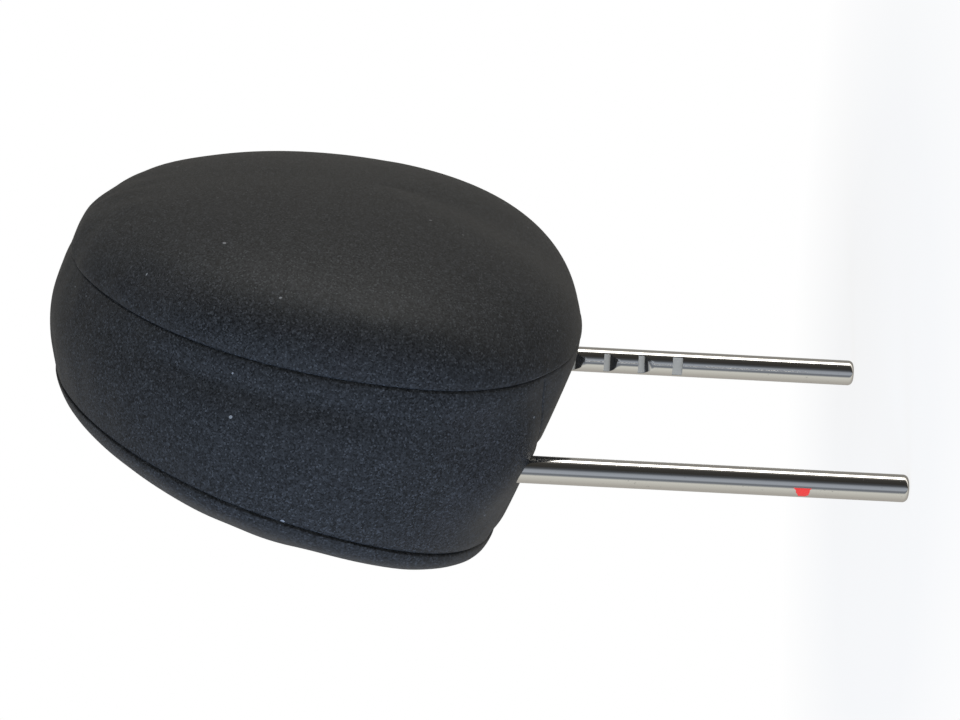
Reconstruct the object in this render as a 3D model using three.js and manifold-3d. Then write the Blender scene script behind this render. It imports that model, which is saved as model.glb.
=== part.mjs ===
// Car headrest: an oval padded cushion on one bent steel rod, upright as it stands on a seat.
// Millimetres. +X to the side, -Y towards the head that leans on it, +Z up.
// Origin: midway between the two posts, at the level where they leave the cushion.

import * as THREE from 'three';
import { mergeVertices } from 'three/addons/utils/BufferGeometryUtils.js';
import Module from 'manifold-3d';

// Clearance between neighbouring pieces
const GAP = 0.3;

// Rod: both posts and the crossbar are one bent steel bar
const ROD_DIAMETER = 10;
const POST_SPACING = 160;
const POST_LENGTH = 138.5;
const CROSSBAR_HEIGHT = 94;
const ROD_BEND_RADIUS = 26;
const TIP_ROUNDING = 2;

// Detent notches, cut into the inner side of the +X post
const NOTCH_DEPTH = 1.6;
const NOTCH_PITCH = 13.8;
const RAMPED_NOTCHES = 3;
const NOTCH_FLOOR = 2;
const NOTCH_RAMP = 4;
const STOP_NOTCH_LENGTH = 4;
const STOP_NOTCH_FROM_TIP = 69.2;

// Cushion: two oval seams, a band between them and a crowned panel outside each
const FRONT_SIDE_OVERHANG = 46;
const FRONT_SEAM_CENTRE = 58.5;
const FRONT_SEAM_UP = 112;
const FRONT_SEAM_DOWN = 80.5;
const FRONT_SEAM_DEPTH = 47;
const FRONT_SEAM_SWEEP = 6.3;
const FRONT_CROWN = 40;
const BACK_SIDE_OVERHANG = 43.5;
const BACK_SEAM_CENTRE = 93;
const BACK_SEAM_UP = 82;
const BACK_SEAM_DOWN = 87.5;
const BACK_SEAM_DEPTH = 13;
const BACK_SEAM_SWEEP = 4.1;
const BACK_CROWN = 17.5;
const BAND_BULGE = 3.4;

// Lower corners, which are fuller than the ovals: how much, where and how far it reaches
const CORNER_FULLNESS = 7;
const CORNER_DEGREES = 36;
const CORNER_REACH_DEGREES = 16;
const CORNER_MIDDLE_SHARE = 0.5;
const CORNER_REACH_SHARE = 0.42;

// Slopes of the two seam planes: depth gained for each millimetre of height
const FRONT_SEAM_LEAN = 0.09;
const BACK_SEAM_LEAN = 0.29;

// Superellipse powers: 2 is a plain ellipse, more is squarer
const FRONT_POWER_UP = 2.08;
const FRONT_POWER_DOWN = 2.55;
const BACK_POWER_UP = 1.8;
const BACK_POWER_DOWN = 2.4;
const FRONT_CROWN_POWER = 2;
const FRONT_CROWN_SIDE_POWER = 2.7;
const BACK_CROWN_POWER = 2.4;

// Cover: fabric laminated with thin foam, its seam allowances turned inwards
const COVER_THICKNESS = 2.5;
const SEAM_ALLOWANCE = 7;
const SEAM_SHOULDER = 1.2;
const SEAM_END_DROP = 1.1;
const THREAD_DIAMETER = 0.7;
const THREAD_END_SHARE = 0.05;
const CORNER_SEAM_DEGREES = 34.5;
const CORNER_SEAM_SLANT = 27;
const POST_HOLE_CLEARANCE = 0.4;

// Closure: two hooked strips that lock the underside flaps together between the posts
const HOOK_LENGTH = 112;
const HOOK_WALL = 1.2;
const HOOK_HEIGHT = 6.5;
const HOOK_LIP = 3.6;
const HOOK_MOUTH = 1.9;
const HOOK_FLANGE = 5;
const HOOK_SEAT = 0.5;

// Core: ribbed plastic clamshell, split on the plane of the rod
const CORE_FRONT_DEPTH = 30;
const CORE_REAR_DEPTH = 10.5;
const CORE_BOTTOM = 26;
const CORE_WALL = 2.5;
const CORE_SIDE_COVER = 9;
const CORE_TOP_COVER = 9;
const CORE_TOP_TAPER = 8;
const CORE_CORNER_RADIUS = 20;
const CORE_EDGE_RADIUS = 5;
const RIB_THICKNESS = 2;
const RIB_PITCH = 33;
const RIB_PAIRS = 2;
const CROSS_RIB_HEIGHT = 58;

// Core screws, with their heads sunk in the rear shell
const SCREW_SPACING_LOW = 100;
const SCREW_SPACING_HIGH = 66;
const SCREW_ABOVE_BOTTOM = 16;
const SCREW_BELOW_CROSSBAR = 18;
const SCREW_SHANK_DIAMETER = 3.6;
const SCREW_HEAD_DIAMETER = 7.4;
const SCREW_HEAD_HEIGHT = 2.4;
const SCREW_CROWN_DIAMETER = 5.6;
const SCREW_CROWN_HEIGHT = 0.8;
const SCREW_SHANK_LENGTH = 24;
const BOSS_WALL = 2;

// Foam: room round the rod, and the slit that lets the core into its pocket
const ROD_CHANNEL_CLEARANCE = 0.4;
const SLIT_WIDTH = 1;

// Facets
const AROUND = 48;
const ROD_SIDES = 20;
const BEND_STEPS = 8;
const TIP_STEPS = 3;
const CROWN_DEGREES = [8, 18, 29, 41, 54, 67, 79];
const BACK_CROWN_DEGREES = [10, 24, 40, 58, 76];
const BAND_STEPS = 5;
const CORNER_STEPS = 3;
const EDGE_STEPS = 2;
const THREAD_SIDES = 5;
const SCREW_SIDES = 12;
const HOOK_STEPS = 8;
const BISECTIONS = 30;

const wasm = await Module();
wasm.setup();

const rodRadius = ROD_DIAMETER / 2;
const postX = POST_SPACING / 2;
const tipZ = -POST_LENGTH;
// Cutting boxes reach this far, past everything that they cut
const beyond = POST_LENGTH + FRONT_SEAM_CENTRE + FRONT_SEAM_UP;
const halfTurn = Math.PI;
const quarterTurn = Math.PI / 2;

const frontSeam = {
  halfWidth: postX + FRONT_SIDE_OVERHANG,
  centre: FRONT_SEAM_CENTRE,
  up: FRONT_SEAM_UP,
  down: FRONT_SEAM_DOWN,
  powerUp: FRONT_POWER_UP,
  powerDown: FRONT_POWER_DOWN,
  y: -FRONT_SEAM_DEPTH,
  lean: -FRONT_SEAM_LEAN,
  sweep: FRONT_SEAM_SWEEP,
  crown: FRONT_CROWN,
  crownPower: FRONT_CROWN_POWER,
  crownSidePower: FRONT_CROWN_SIDE_POWER,
  crownDegrees: CROWN_DEGREES,
  share: 0,
  outward: -1,
};

const backSeam = {
  halfWidth: postX + BACK_SIDE_OVERHANG,
  centre: BACK_SEAM_CENTRE,
  up: BACK_SEAM_UP,
  down: BACK_SEAM_DOWN,
  powerUp: BACK_POWER_UP,
  powerDown: BACK_POWER_DOWN,
  y: BACK_SEAM_DEPTH,
  lean: -BACK_SEAM_LEAN,
  sweep: -BACK_SEAM_SWEEP,
  crown: BACK_CROWN,
  crownPower: BACK_CROWN_POWER,
  crownSidePower: BACK_CROWN_POWER,
  crownDegrees: BACK_CROWN_DEGREES,
  share: 1,
  outward: 1,
};

// Solids

function range(count) {
  return Array.from({ length: count }, (_, i) => i);
}

// An outline point that also remembers its place on the flat outline, for capping
function outlinePoint(position, u, v) {
  position.flat = new THREE.Vector2(u, v);
  return position;
}

// Skins a row of outlines with equal point counts into one closed body. The row closes on
// itself ('loop'), ends in flat caps ('caps'), or ends in a pole at each end ([first, last]).
function loft(outlines, ends = 'caps') {
  const points = outlines.flat();
  const count = outlines[0].length;
  const rows = outlines.length;
  const lastRow = (rows - 1) * count;
  const faces = [];
  for (const row of range(ends === 'loop' ? rows : rows - 1)) {
    const here = row * count;
    const there = ((row + 1) % rows) * count;
    for (const i of range(count)) {
      const next = (i + 1) % count;
      faces.push(...quad(points, here + i, here + next, there + next, there + i));
    }
  }
  if (ends === 'caps') {
    const flat = outlines[0].map((point) => point.flat);
    const clockwise = THREE.ShapeUtils.isClockWise(flat);
    for (const [a, b, c] of THREE.ShapeUtils.triangulateShape(flat, [])) {
      const along = THREE.ShapeUtils.isClockWise([flat[a], flat[b], flat[c]]) === clockwise;
      const [i, j] = along ? [c, b] : [b, c];
      faces.push(a, i, j, lastRow + a, lastRow + j, lastRow + i);
    }
  } else if (ends !== 'loop') {
    const pole = points.length;
    points.push(...ends);
    for (const i of range(count)) {
      const next = (i + 1) % count;
      faces.push(pole, next, i);
      faces.push(pole + 1, lastRow + i, lastRow + next);
    }
  }
  return facingOut(points, faces);
}

// Two triangles on the shorter diagonal, so that layers that follow each other split alike
function quad(points, a, b, c, d) {
  const short = points[a].distanceTo(points[c]) <= points[b].distanceTo(points[d]);
  return short ? [a, b, c, a, c, d] : [a, b, d, b, c, d];
}

function facingOut(points, faces) {
  const cross = new THREE.Vector3();
  let volume = 0;
  for (let i = 0; i < faces.length; i += 3) {
    cross.crossVectors(points[faces[i + 1]], points[faces[i + 2]]);
    volume += cross.dot(points[faces[i]]);
  }
  const geometry = new THREE.BufferGeometry().setFromPoints(points);
  geometry.setIndex(volume > 0 ? faces : faces.slice().reverse());
  return geometry;
}

// A solid that can be cut and joined. A turned profile's doubled points on its axis are dropped.
function solid(geometry) {
  const plain = geometry.clone();
  plain.deleteAttribute('normal');
  plain.deleteAttribute('uv');
  const merged = mergeVertices(plain, 1e-4);
  const index = merged.index.array;
  const faces = [];
  for (let i = 0; i < index.length; i += 3) {
    const [a, b, c] = index.slice(i, i + 3);
    if (a !== b && b !== c && c !== a) faces.push(a, b, c);
  }
  return new wasm.Manifold(new wasm.Mesh({
    numProp: 3,
    vertProperties: new Float32Array(merged.attributes.position.array),
    triVerts: new Uint32Array(faces),
  }));
}

function geometryOf(body) {
  const mesh = body.getMesh();
  const geometry = new THREE.BufferGeometry();
  geometry.setAttribute('position', new THREE.BufferAttribute(new Float32Array(mesh.vertProperties), 3));
  geometry.setIndex(Array.from(mesh.triVerts));
  return geometry;
}

function union(bodies) {
  return bodies.reduce((all, body) => all.add(body));
}

function box(low, high) {
  const size = high.map((value, i) => value - low[i]);
  const middle = high.map((value, i) => (value + low[i]) / 2);
  return solid(new THREE.BoxGeometry(...size).translate(...middle));
}

// A piece turned about an axis along Y, from [radius, y] pairs that start and end on the axis
function turnedOnY(profile, x, z) {
  const points = profile.map(([radius, y]) => new THREE.Vector2(radius, y));
  return solid(new THREE.LatheGeometry(points, SCREW_SIDES).translate(x, 0, z));
}

function pin(radius, low, high, x, z) {
  return turnedOnY([[0, low], [radius, low], [radius, high], [0, high]], x, z);
}

// Rod

// One round outline of the rod. Turn 0 is the +X leg, a quarter turn the crossbar and a half
// turn the -X leg.
function rodOutline(x, z, turn, radius) {
  return range(ROD_SIDES).map((i) => {
    const angle = (i / ROD_SIDES) * 2 * Math.PI;
    const across = radius * Math.cos(angle);
    const y = radius * Math.sin(angle);
    const point = new THREE.Vector3(x + across * Math.cos(turn), y, z + across * Math.sin(turn));
    return outlinePoint(point, Math.cos(angle), Math.sin(angle));
  });
}

function rodTip(side, radius) {
  return range(TIP_STEPS + 1).map((i) => {
    const turn = (i / TIP_STEPS) * quarterTurn;
    const z = tipZ + TIP_ROUNDING * (1 - Math.cos(turn));
    return rodOutline(side * postX, z, side > 0 ? 0 : halfTurn, radius - TIP_ROUNDING * (1 - Math.sin(turn)));
  });
}

function rodBend(side, radius) {
  return range(BEND_STEPS + 1).map((i) => {
    const turn = (i / BEND_STEPS + (side > 0 ? 0 : 1)) * quarterTurn;
    const x = side * (postX - ROD_BEND_RADIUS) + ROD_BEND_RADIUS * Math.cos(turn);
    const z = CROSSBAR_HEIGHT - ROD_BEND_RADIUS * (1 - Math.sin(turn));
    return rodOutline(x, z, turn, radius);
  });
}

// The plain bent bar, or the room that it needs when it is grown by a clearance
function bentBar(clearance) {
  const radius = rodRadius + clearance;
  return solid(loft([
    ...rodTip(1, radius),
    ...rodBend(1, radius),
    ...rodBend(-1, radius),
    ...rodTip(-1, radius).reverse(),
  ]));
}

// A notch seen from the front: an upright wall on the cushion's side, a flat floor, then a ramp
// out to the bar's surface, or a second wall where the ramp is 0
function notchCutter(wallZ, floor, ramp) {
  const surfaceX = postX - rodRadius;
  const floorX = surfaceX + NOTCH_DEPTH;
  const openX = surfaceX - NOTCH_DEPTH;
  const shape = new THREE.Shape([
    new THREE.Vector2(openX, wallZ),
    new THREE.Vector2(floorX, wallZ),
    new THREE.Vector2(floorX, wallZ - floor),
    new THREE.Vector2(openX, wallZ - floor - 2 * ramp),
  ]);
  const cutter = new THREE.ExtrudeGeometry(shape, { depth: 2 * ROD_DIAMETER, bevelEnabled: false });
  return solid(cutter.rotateX(quarterTurn).translate(0, ROD_DIAMETER, 0));
}

function makeRod() {
  const stopWall = tipZ + STOP_NOTCH_FROM_TIP + STOP_NOTCH_LENGTH;
  const ramped = range(RAMPED_NOTCHES).map((i) => (
    notchCutter(stopWall + (i + 1) * NOTCH_PITCH, NOTCH_FLOOR, NOTCH_RAMP)
  ));
  const notches = union([notchCutter(stopWall, STOP_NOTCH_LENGTH, 0), ...ramped]);
  return bentBar(0).subtract(notches);
}

// Core

function coreOutline(inset, y) {
  const radius = CORE_CORNER_RADIUS - inset;
  const top = CROSSBAR_HEIGHT + rodRadius + CORE_TOP_COVER - CORE_CORNER_RADIUS;
  const bottom = CORE_BOTTOM + CORE_CORNER_RADIUS;
  const wide = postX + rodRadius + CORE_SIDE_COVER - CORE_CORNER_RADIUS;
  const narrow = wide - CORE_TOP_TAPER;
  const slope = Math.atan2(CORE_TOP_TAPER, top - bottom);
  const corners = [
    { x: wide, z: bottom, from: -quarterTurn, to: slope },
    { x: narrow, z: top, from: slope, to: quarterTurn },
    { x: -narrow, z: top, from: quarterTurn, to: halfTurn - slope },
    { x: -wide, z: bottom, from: halfTurn - slope, to: halfTurn + quarterTurn },
  ];
  return corners.flatMap(({ x, z, from, to }) => range(CORNER_STEPS + 1).map((i) => {
    const angle = from + (i / CORNER_STEPS) * (to - from);
    const px = x + radius * Math.cos(angle);
    const pz = z + radius * Math.sin(angle);
    return outlinePoint(new THREE.Vector3(px, y, pz), px, pz);
  }));
}

// A rounded block on one side of the parting plane, from y = start to a face at side * depth
function coreBlock(side, depth, inset, start) {
  const rounded = range(EDGE_STEPS + 1).map((i) => {
    const turn = (i / EDGE_STEPS) * quarterTurn;
    const y = side * (depth - CORE_EDGE_RADIUS * (1 - Math.sin(turn)));
    return coreOutline(inset + CORE_EDGE_RADIUS * (1 - Math.cos(turn)), y);
  });
  return solid(loft([coreOutline(inset, start), ...rounded]));
}

function screwPlaces() {
  const low = CORE_BOTTOM + SCREW_ABOVE_BOTTOM;
  const high = CROSSBAR_HEIGHT - SCREW_BELOW_CROSSBAR;
  return [
    [SCREW_SPACING_LOW / 2, low],
    [-SCREW_SPACING_LOW / 2, low],
    [SCREW_SPACING_HIGH / 2, high],
    [-SCREW_SPACING_HIGH / 2, high],
  ];
}

const headSeatY = CORE_REAR_DEPTH - SCREW_HEAD_HEIGHT - GAP;
const screwTipY = headSeatY + GAP - SCREW_SHANK_LENGTH;
const shankHole = SCREW_SHANK_DIAMETER / 2 + GAP;
const headHole = SCREW_HEAD_DIAMETER / 2 + GAP;

// Upright ribs and one cross rib, all fused to the shell's outer wall
function coreRibs(depth) {
  const half = RIB_THICKNESS / 2;
  const upright = range(2 * RIB_PAIRS + 1).map((i) => {
    const x = (i - RIB_PAIRS) * RIB_PITCH;
    return box([x - half, -depth, -beyond], [x + half, depth, beyond]);
  });
  const cross = box([-beyond, -depth, CROSS_RIB_HEIGHT - half], [beyond, depth, CROSS_RIB_HEIGHT + half]);
  return union([...upright, cross]);
}

function makeCoreShell(side, depth) {
  const parting = side * GAP / 2;
  const outer = coreBlock(side, depth, 0, parting);
  const hollow = coreBlock(side, depth - CORE_WALL, CORE_WALL, -side);
  const bossRadius = (side < 0 ? shankHole : headHole) + BOSS_WALL;
  const [low, high] = side < 0 ? [-depth + GAP, parting] : [parting, depth - GAP];
  const bosses = union(screwPlaces().map(([x, z]) => pin(bossRadius, low, high, x, z)));
  const holes = union(screwPlaces().flatMap(([x, z]) => [
    pin(shankHole, screwTipY - 2 * GAP, headSeatY + GAP, x, z),
    pin(headHole, headSeatY, depth + GAP, x, z),
  ]));
  return outer
    .subtract(hollow)
    .add(outer.intersect(coreRibs(depth).add(bosses)))
    .subtract(side < 0 ? holes.intersect(box([-beyond, -beyond, -beyond], [beyond, 0, beyond])) : holes)
    .subtract(bentBar(GAP));
}

function makeScrew(x, z) {
  const shank = SCREW_SHANK_DIAMETER / 2;
  const head = SCREW_HEAD_DIAMETER / 2;
  const seat = headSeatY + GAP;
  const crown = seat + SCREW_HEAD_HEIGHT;
  return turnedOnY([
    [0, screwTipY],
    [shank / 2, screwTipY],
    [shank, screwTipY + shank],
    [shank, seat],
    [head, seat],
    [head, crown - SCREW_CROWN_HEIGHT],
    [SCREW_CROWN_DIAMETER / 2, crown],
    [0, crown],
  ], x, z);
}

// Cushion surfaces. Inset is how far a layer lies under the cover's outer face.

const cornerAngle = THREE.MathUtils.degToRad(CORNER_SEAM_DEGREES);

// The corner seams slant across the band, and the stations between them turn with them
function slanted(angle, share) {
  const pull = (at) => Math.cos(at) * (1 - Math.sin(at));
  const slant = THREE.MathUtils.degToRad(CORNER_SEAM_SLANT);
  return angle - share * slant * pull(angle) / pull(-cornerAngle);
}

// A point on a seam's oval, or inside it where the scale is under 1
function seamPoint(seam, angle, inset, scale = 1) {
  const upper = Math.sin(angle) >= 0;
  const power = upper ? seam.powerUp : seam.powerDown;
  const reachX = seam.halfWidth - inset;
  const reachZ = (upper ? seam.up : seam.down) - inset;
  const sum = Math.abs(Math.cos(angle) / reachX) ** power + Math.abs(Math.sin(angle) / reachZ) ** power;
  const radius = scale * sum ** (-1 / power);
  const x = radius * Math.cos(angle);
  const rise = radius * Math.sin(angle);
  const y = seam.y + seam.lean * rise + seam.sweep * (x / seam.halfWidth) ** 2;
  return new THREE.Vector3(x, y, seam.centre + rise);
}

// A point on the crowned panel: 0 degrees is the seam and 90 the top of the crown. The shoulder
// of the front panel is squarer at the sides than over the top and along the underside.
function crownPoint(seam, angle, inset, degrees) {
  const turn = THREE.MathUtils.degToRad(degrees);
  const turned = slanted(angle, seam.share);
  const power = THREE.MathUtils.lerp(seam.crownPower, seam.crownSidePower, Math.cos(turned) ** 2);
  const scale = Math.cos(turn) ** (2 / power);
  const point = seamPoint(seam, turned, inset, scale);
  point.y += seam.outward * (seam.crown - inset) * Math.sin(turn) ** (2 / power);
  return point;
}

function crownTop(seam, inset) {
  return new THREE.Vector3(0, seam.y + seam.outward * (seam.crown - inset), seam.centre);
}

// 1 at the middle of a swelling, and down to 0 where the distance is its reach
function swelling(distance, reach) {
  return Math.abs(distance) < reach ? Math.cos(distance / reach * quarterTurn) ** 2 : 0;
}

// How far the band stands out: it flattens towards the underside and fills the lower corners
function bandBulge(angle, share) {
  const below = THREE.MathUtils.radToDeg(Math.atan2(-Math.sin(angle), Math.abs(Math.cos(angle))));
  const flattening = below > 0 ? Math.cos(angle) ** 2 : 1;
  const corner = swelling(below - CORNER_DEGREES, CORNER_REACH_DEGREES)
    * swelling(share - CORNER_MIDDLE_SHARE, CORNER_REACH_SHARE);
  return 4 * BAND_BULGE * flattening * share * (1 - share) + CORNER_FULLNESS * corner;
}

// A point on the band's surface: share 0 is the front seam and 1 the back seam
function surfacePoint(angle, share, inset) {
  const front = seamPoint(frontSeam, angle, inset);
  const back = seamPoint(backSeam, angle, inset);
  const bulge = bandBulge(angle, share);
  const point = front.clone().lerp(back, share);
  point.x += bulge * Math.cos(angle);
  point.z += bulge * Math.sin(angle);
  return outlinePoint(point, share * front.distanceTo(back), inset - bulge);
}

// The same at a station, whose angle is its place on the front seam
function bandPoint(angle, share, inset) {
  return surfacePoint(slanted(angle, share), share, inset);
}

// A point beside a seam: distance is measured across the band, positive on the band's side
function besideSeam(seam, angle, distance, inset) {
  const turned = slanted(angle, seam.share);
  const width = seamPoint(frontSeam, turned, 0).distanceTo(seamPoint(backSeam, turned, 0));
  return bandPoint(angle, seam.share - seam.outward * distance / width, inset);
}

// Stations round the cushion: evenly spaced, with one on each corner seam
const cornerAngles = [halfTurn + cornerAngle, 2 * halfTurn - cornerAngle];
const stationPitch = 2 * halfTurn / AROUND;
const aroundAngles = range(AROUND)
  .map((i) => i * stationPitch)
  .filter((angle) => cornerAngles.every((corner) => Math.abs(angle - corner) > stationPitch / 2))
  .concat(cornerAngles)
  .sort((a, b) => a - b);
const bandShares = range(BAND_STEPS - 1).map((i) => (i + 1) / BAND_STEPS);
const allowanceDepth = SEAM_SHOULDER + SEAM_ALLOWANCE;

// Cover

// A crowned panel with its edge turned inwards as a seam allowance
function makeCrownPanel(seam) {
  const edge = -GAP / 2;
  const inner = edge - COVER_THICKNESS;
  const ring = (place) => aroundAngles.map(place);
  const outside = seam.crownDegrees.slice().reverse();
  const inside = seam.crownDegrees.slice(1);
  const rings = [
    ...outside.map((degrees) => ring((angle) => crownPoint(seam, angle, 0, degrees))),
    ring((angle) => besideSeam(seam, angle, edge - SEAM_SHOULDER, 0)),
    ring((angle) => besideSeam(seam, angle, edge, SEAM_SHOULDER)),
    ring((angle) => besideSeam(seam, angle, edge, allowanceDepth)),
    ring((angle) => besideSeam(seam, angle, inner, allowanceDepth)),
    ring((angle) => besideSeam(seam, angle, inner, COVER_THICKNESS)),
    ...inside.map((degrees) => ring((angle) => crownPoint(seam, angle, COVER_THICKNESS, degrees))),
  ];
  return loft(rings, [crownTop(seam, 0), crownTop(seam, COVER_THICKNESS)]);
}

// One cross-section of the band, whose outer face may be lowered into a corner seam
function bandOutline(angle, drop) {
  const edge = GAP / 2;
  const inner = edge + COVER_THICKNESS;
  return [
    besideSeam(frontSeam, angle, edge, SEAM_SHOULDER),
    besideSeam(frontSeam, angle, edge + SEAM_SHOULDER, drop),
    ...bandShares.map((share) => bandPoint(angle, share, drop)),
    besideSeam(backSeam, angle, edge + SEAM_SHOULDER, drop),
    besideSeam(backSeam, angle, edge, SEAM_SHOULDER),
    besideSeam(backSeam, angle, edge, allowanceDepth),
    besideSeam(backSeam, angle, inner, allowanceDepth),
    besideSeam(backSeam, angle, inner, COVER_THICKNESS),
    ...bandShares.slice().reverse().map((share) => bandPoint(angle, share, COVER_THICKNESS)),
    besideSeam(frontSeam, angle, inner, COVER_THICKNESS),
    besideSeam(frontSeam, angle, inner, allowanceDepth),
    besideSeam(frontSeam, angle, edge, allowanceDepth),
  ];
}

// The stretch of band between two angles, with its ends lowered into the corner seams
function bandStretch(from, to) {
  const halfGap = GAP / 2 / frontSeam.halfWidth;
  const shoulder = SEAM_SHOULDER / frontSeam.halfWidth;
  const start = from + halfGap;
  const end = to - halfGap;
  const between = aroundAngles
    .flatMap((angle) => [angle - 2 * Math.PI, angle])
    .filter((angle) => angle > start + 2 * shoulder && angle < end - 2 * shoulder)
    .sort((a, b) => a - b);
  return loft([
    bandOutline(start, SEAM_END_DROP),
    bandOutline(start + shoulder, 0),
    ...between.map((angle) => bandOutline(angle, 0)),
    bandOutline(end - shoulder, 0),
    bandOutline(end, SEAM_END_DROP),
  ]);
}

// What the cover and its threads leave open for the posts
const postHoles = bentBar(POST_HOLE_CLEARANCE);

// The band runs over the top and down both sides, and round the posts on the underside
function makeSideBand() {
  return solid(bandStretch(-cornerAngle, halfTurn + cornerAngle)).subtract(postHoles);
}

// Between the corner seams the underside is two flaps that meet on the plane of the posts
function makeUndersideFlap(side) {
  const whole = solid(bandStretch(cornerAngle - halfTurn, -cornerAngle));
  const [low, high] = side < 0 ? [-beyond, -GAP / 2] : [GAP / 2, beyond];
  return whole.intersect(box([-beyond, low, -beyond], [beyond, high, beyond])).subtract(postHoles);
}

// Threads

// A seam's thread is one thin cord at the bottom of the seam's groove
const threadDepth = SEAM_SHOULDER / 2;
const threadRadius = THREAD_DIAMETER / 2;

function makeSeamThread(seam) {
  return loft(aroundAngles.map((angle) => range(THREAD_SIDES).map((i) => {
    const turn = (i / THREAD_SIDES) * 2 * Math.PI;
    return besideSeam(seam, angle, threadRadius * Math.cos(turn), threadDepth + threadRadius * Math.sin(turn));
  })), 'loop');
}

function makeCornerThread(side) {
  const angle = side > 0 ? -cornerAngle : halfTurn + cornerAngle;
  const shares = [THREAD_END_SHARE, ...bandShares, 1 - THREAD_END_SHARE];
  const thread = loft(shares.map((share) => range(THREAD_SIDES).map((i) => {
    const turn = (i / THREAD_SIDES) * 2 * Math.PI;
    const aside = threadRadius * Math.cos(turn) / frontSeam.halfWidth;
    const point = bandPoint(angle + aside, share, threadDepth + threadRadius * Math.sin(turn));
    return outlinePoint(point, Math.cos(turn), Math.sin(turn));
  })));
  return solid(thread).subtract(postHoles);
}

// Closure

// The place on the flaps' inner face that lies on the plane of the posts, at a given x
function closureLinePoint(x, inset) {
  let low = halfTurn;
  let high = halfTurn + quarterTurn;
  let point;
  for (let pass = 0; pass < BISECTIONS; pass++) {
    const angle = (low + high) / 2;
    const front = seamPoint(frontSeam, angle, inset);
    const back = seamPoint(backSeam, angle, inset);
    point = surfacePoint(angle, front.y / (front.y - back.y), inset);
    if (point.x < -Math.abs(x)) low = angle; else high = angle;
  }
  point.x *= x > 0 ? -1 : 1;
  return point;
}

// Sweeps a flat outline of [across, height] pairs along the closure line, across the flaps
function alongClosure(outline, length) {
  const front = seamPoint(frontSeam, -quarterTurn, 0);
  const across = seamPoint(backSeam, -quarterTurn, 0).sub(front).normalize();
  const inwards = new THREE.Vector3(1, 0, 0).cross(across);
  return loft(range(HOOK_STEPS + 1).map((i) => {
    const base = closureLinePoint((i / HOOK_STEPS - 0.5) * length, COVER_THICKNESS);
    return outline.map(([aside, height]) => {
      const point = base.clone().addScaledVector(across, aside).addScaledVector(inwards, height);
      return outlinePoint(point, aside, height);
    });
  }));
}

const hookStem = HOOK_MOUTH + HOOK_WALL - GAP;

// The front strip hooks down over the rear strip's upright lip
function makeFrontHook() {
  const top = HOOK_SEAT + HOOK_HEIGHT;
  const foot = HOOK_SEAT + HOOK_WALL;
  return alongClosure([
    [-hookStem - HOOK_FLANGE, HOOK_SEAT],
    [-hookStem + HOOK_WALL, HOOK_SEAT],
    [-hookStem + HOOK_WALL, top - HOOK_WALL],
    [0, top - HOOK_WALL],
    [0, top - HOOK_LIP],
    [HOOK_WALL, top - HOOK_LIP],
    [HOOK_WALL, top],
    [-hookStem, top],
    [-hookStem, foot],
    [-hookStem - HOOK_FLANGE, foot],
  ], HOOK_LENGTH);
}

function makeRearHook() {
  const lipTop = HOOK_SEAT + HOOK_HEIGHT - HOOK_WALL - GAP;
  const foot = HOOK_SEAT + HOOK_WALL;
  const lip = -hookStem + HOOK_WALL + GAP;
  return alongClosure([
    [lip, HOOK_SEAT],
    [HOOK_FLANGE, HOOK_SEAT],
    [HOOK_FLANGE, foot],
    [lip + HOOK_WALL, foot],
    [lip + HOOK_WALL, lipTop],
    [lip, lipTop],
  ], HOOK_LENGTH);
}

function hookRoom() {
  const wide = hookStem + HOOK_FLANGE + GAP;
  const top = HOOK_SEAT + HOOK_HEIGHT + GAP;
  return solid(alongClosure([
    [-wide, -HOOK_HEIGHT],
    [HOOK_FLANGE + GAP, -HOOK_HEIGHT],
    [HOOK_FLANGE + GAP, top],
    [-wide, top],
  ], HOOK_LENGTH + 2 * GAP));
}

// Foam

// The outer face follows the cover's inner face, with a groove for each pair of allowances
function foamBlock() {
  const skin = COVER_THICKNESS + GAP;
  const halfGroove = GAP / 2 + COVER_THICKNESS + GAP;
  const floor = allowanceDepth + GAP;
  const ring = (place) => aroundAngles.map(place);
  const groove = (seam) => [
    ring((angle) => besideSeam(seam, angle, -halfGroove, skin + GAP)),
    ring((angle) => besideSeam(seam, angle, -halfGroove, floor)),
    ring((angle) => besideSeam(seam, angle, halfGroove, floor)),
    ring((angle) => besideSeam(seam, angle, halfGroove, skin)),
  ];
  const crown = (seam) => seam.crownDegrees.slice(1)
    .map((degrees) => ring((angle) => crownPoint(seam, angle, skin, degrees)));
  return solid(loft([
    ...crown(frontSeam).reverse(),
    ...groove(frontSeam),
    ...bandShares.map((share) => ring((angle) => bandPoint(angle, share, skin))),
    ...groove(backSeam).reverse(),
    ...crown(backSeam),
  ], [crownTop(frontSeam, skin), crownTop(backSeam, skin)]));
}

function makeFoam() {
  const pocket = union([
    coreBlock(-1, CORE_FRONT_DEPTH + GAP, -GAP, GAP),
    coreBlock(1, CORE_REAR_DEPTH + GAP, -GAP, -GAP),
  ]);
  const slit = box([-postX, -SLIT_WIDTH / 2, -beyond], [postX, SLIT_WIDTH / 2, CORE_BOTTOM + GAP]);
  return foamBlock()
    .subtract(pocket)
    .subtract(bentBar(ROD_CHANNEL_CLEARANCE))
    .subtract(slit)
    .subtract(hookRoom());
}

// Assembly

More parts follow.
